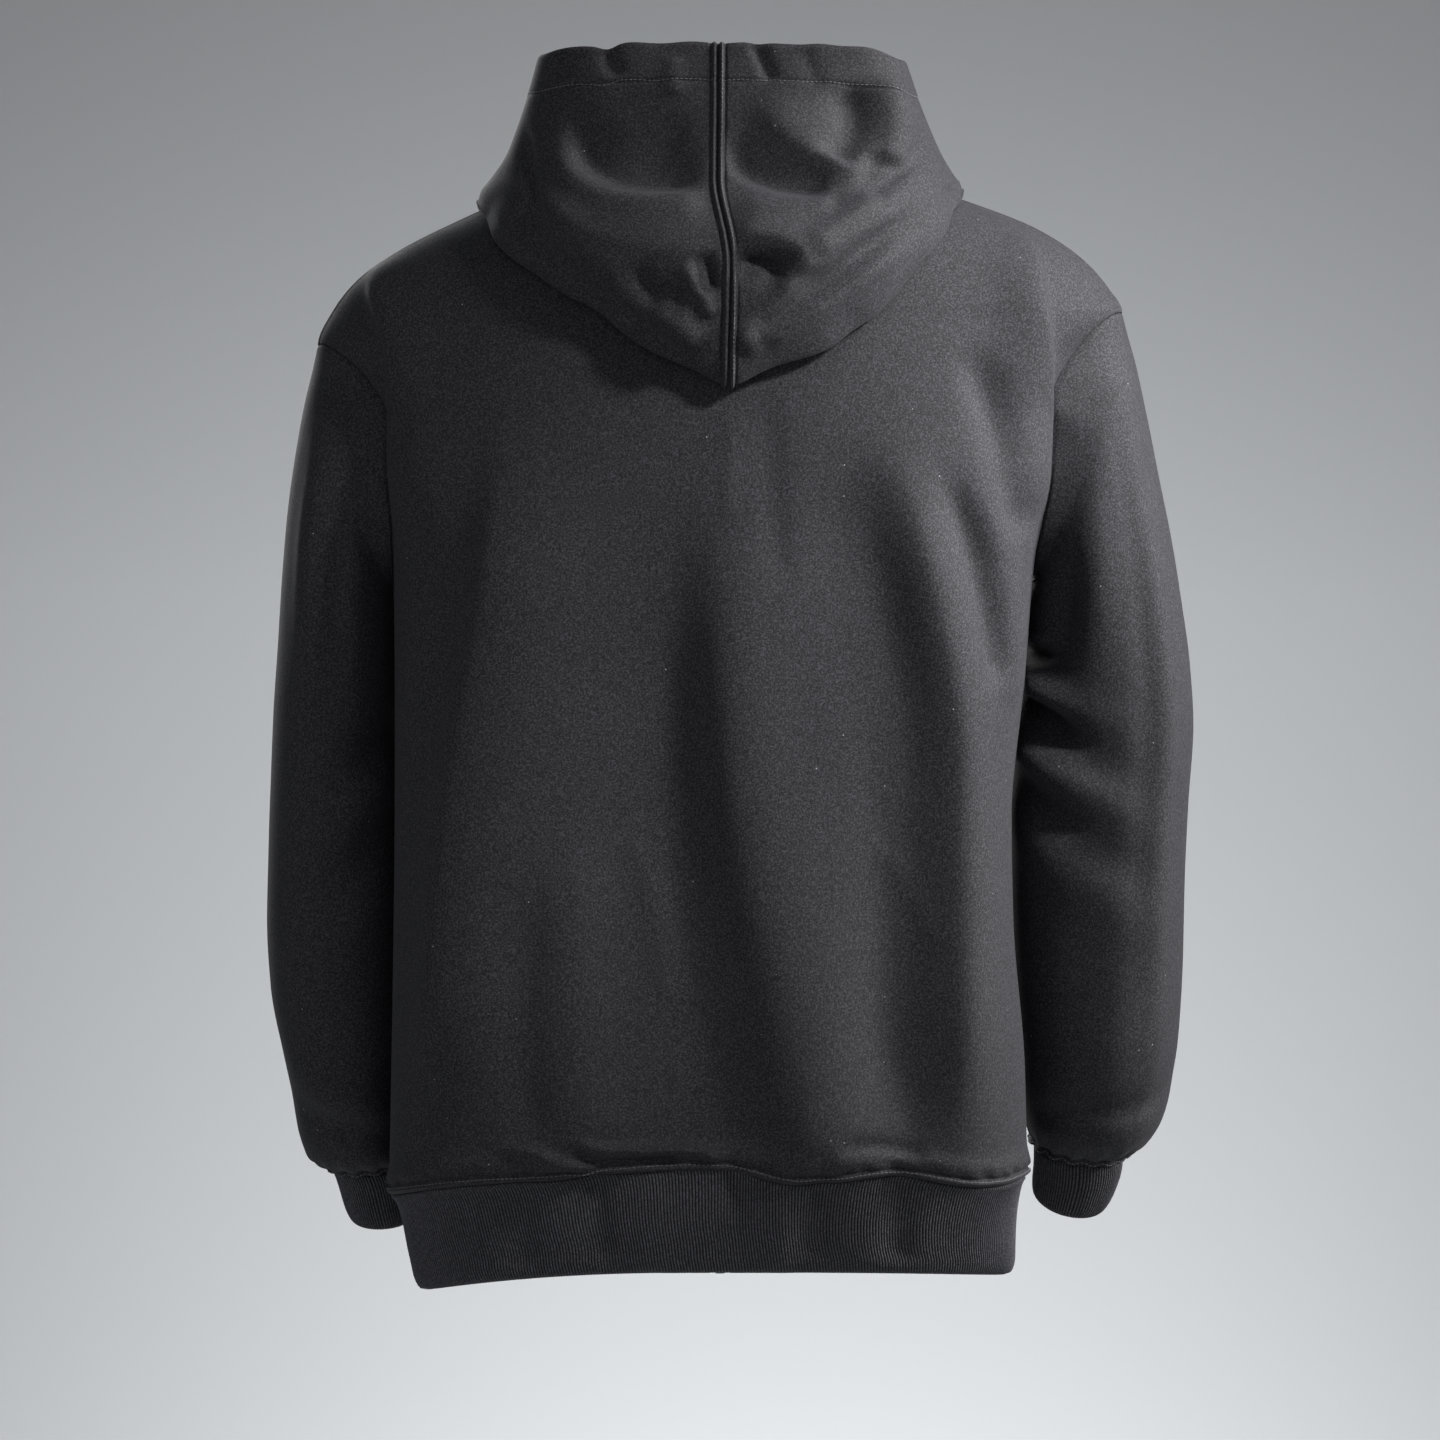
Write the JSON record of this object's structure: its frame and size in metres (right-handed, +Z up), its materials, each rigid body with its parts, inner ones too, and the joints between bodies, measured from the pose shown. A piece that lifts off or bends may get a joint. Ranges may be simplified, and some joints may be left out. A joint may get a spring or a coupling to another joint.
{
  "type": "zip up hoodie",
  "caption": "Worn, hollow zip-up hooded sweatshirt with a two-panel hood lying down at the back, dropped sleeves, ribbed cuffs and hem.",
  "frame": {"origin": "middle of the neck opening, level with the neck ends of the shoulder seams, where the wearer's shoulders and neck hold it", "axes": "+Z up along the wearer's body, +X to the wearer's left, +Y to the wearer's back, so the zip faces -Y"},
  "size_m": [0.6262, 0.3016, 0.8367],
  "materials": {
    "jersey": "matte black fleece-backed cotton jersey with a fine knit",
    "rib_knit": "matte black rib knit",
    "zip_tape": "black woven zip tape",
    "zip_metal": "dark gunmetal zip teeth, slider and pull"
  },
  "bodies": {
    "garment": {"back_panel": "jersey", "cuff_left": "rib_knit", "cuff_right": "rib_knit", "front_left": "jersey", "front_right": "jersey", "hem_rib": "rib_knit", "hood_left": "jersey", "hood_right": "jersey", "sleeve_left": "jersey", "sleeve_right": "jersey", "zip_box": "zip_metal", "zip_chain": "zip_metal", "zip_slider": "zip_metal", "zip_tape_left": "zip_tape", "zip_tape_right": "zip_tape"},
    "pull_tab": {"zip_pull": "zip_metal"}
  },
  "joints": [
    {"name": "pull_tab_hinge", "type": "hinge", "parent": "garment", "child": "pull_tab", "pos_m": [0, -0.0942, -0.1011], "axis": [-1, 0, 0], "range_deg": [0, 150]}
  ]
}
